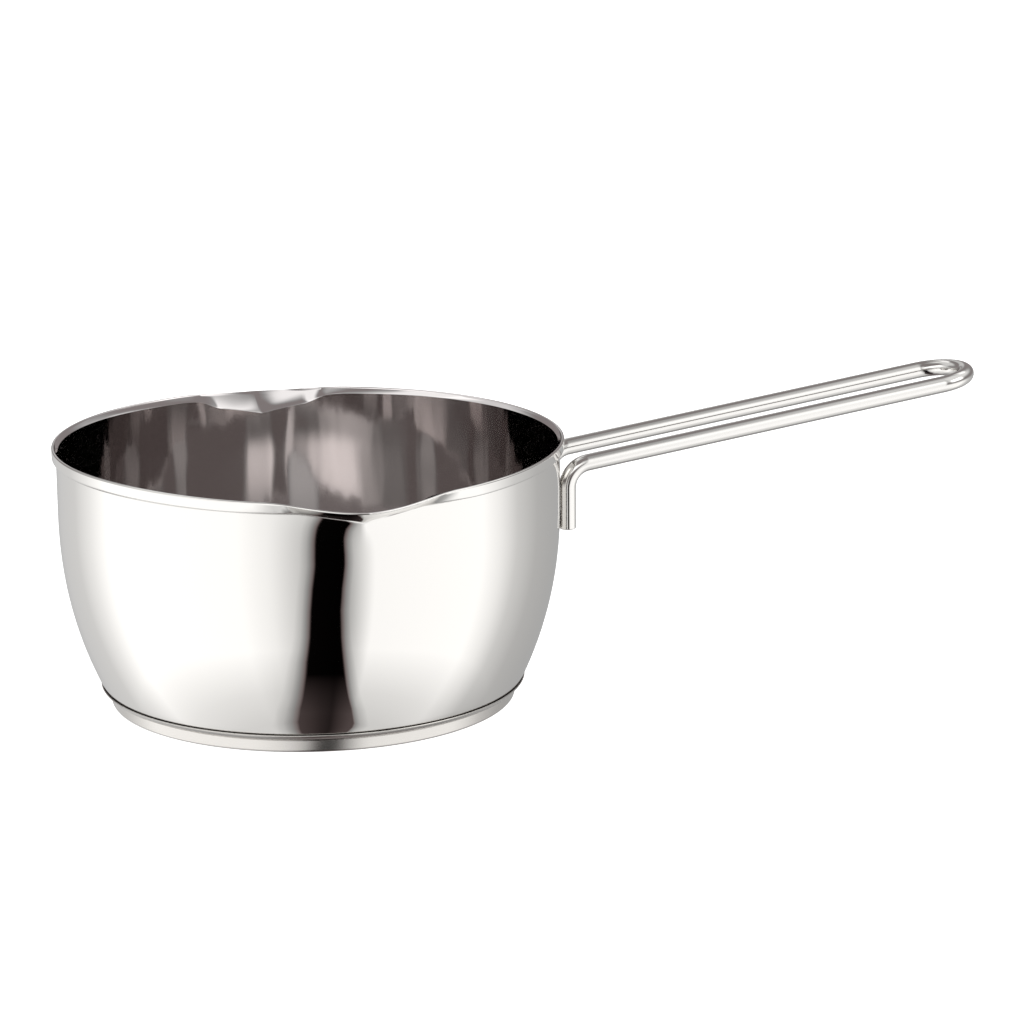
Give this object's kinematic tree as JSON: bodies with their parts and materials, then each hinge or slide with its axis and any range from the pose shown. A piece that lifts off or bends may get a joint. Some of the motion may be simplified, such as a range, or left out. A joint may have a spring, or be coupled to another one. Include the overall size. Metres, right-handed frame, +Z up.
{
  "type": "conical saucepan",
  "caption": "Open steel saucepan narrowing to a capsule base, with a flared rim, opposite pouring spouts and a long hairpin handle bent from round bar.",
  "frame": {"origin": "bottom centre of the base, on the face that the pan stands on", "axes": "+X along the handle, away from the pan; +Y across it, through one spout, the other spout lying at -Y; +Z up"},
  "size_m": [0.386, 0.23, 0.1208],
  "materials": {
    "body_steel": "mirror polished stainless steel",
    "disc_aluminium": "plain rolled",
    "cap_steel": "satin turned stainless steel",
    "bar_steel": "polished stainless steel bar"
  },
  "bodies": {
    "root": {"pan_body": "body_steel", "heat_disc": "disc_aluminium", "base_cap": "cap_steel", "handle_loop": "bar_steel"}
  },
  "joints": []
}
